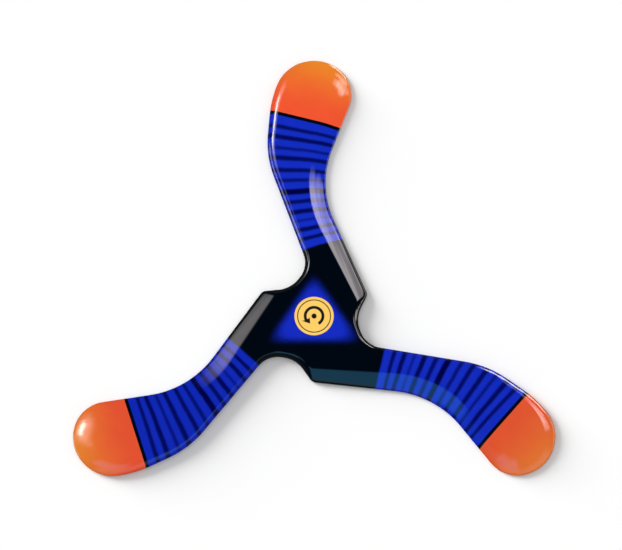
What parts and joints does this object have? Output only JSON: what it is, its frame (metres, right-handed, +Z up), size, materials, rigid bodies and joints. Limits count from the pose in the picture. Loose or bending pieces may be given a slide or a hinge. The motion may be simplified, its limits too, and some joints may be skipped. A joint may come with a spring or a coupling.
{
  "type": "boomerang",
  "caption": "Flat returning boomerang with curved, bevelled wings of shaped birch plywood under a glossy painted finish, thrown by one wing.",
  "frame": {"origin": "on the flat underside, at the centre of the hub that the wings turn about", "axes": "+Z up out of the decorated face, +Y from the hub towards the first wing, +X to the right of it; seen from +Z it spins counter-clockwise"},
  "size_m": [0.2807, 0.2496, 0.0057],
  "materials": {
    "birch": "rotary-cut birch veneer, bare inside the finish",
    "glue": "cured phenolic glue film",
    "orange_paint": "airbrushed orange under clear gloss lacquer",
    "blue_paint": "airbrushed blue with dark cross bands under clear gloss lacquer",
    "black_paint": "black under clear gloss lacquer",
    "decal": "printed film transfer, satin gloss"
  },
  "bodies": {
    "root": {"veneer_01": "birch", "veneer_02": "birch", "veneer_03": "birch", "veneer_04": "birch", "veneer_05": "birch", "veneer_06": "birch", "veneer_07": "birch", "veneer_08": "birch", "veneer_09": "birch", "veneer_10": "birch", "glue_film_01": "glue", "glue_film_02": "glue", "glue_film_03": "glue", "glue_film_04": "glue", "glue_film_05": "glue", "glue_film_06": "glue", "glue_film_07": "glue", "glue_film_08": "glue", "glue_film_09": "glue", "tip_paint_1": "orange_paint", "tip_paint_2": "orange_paint", "tip_paint_3": "orange_paint", "wing_paint_1": "blue_paint", "wing_paint_2": "blue_paint", "wing_paint_3": "blue_paint", "hub_paint": "black_paint", "hub_decal": "decal"}
  },
  "joints": []
}
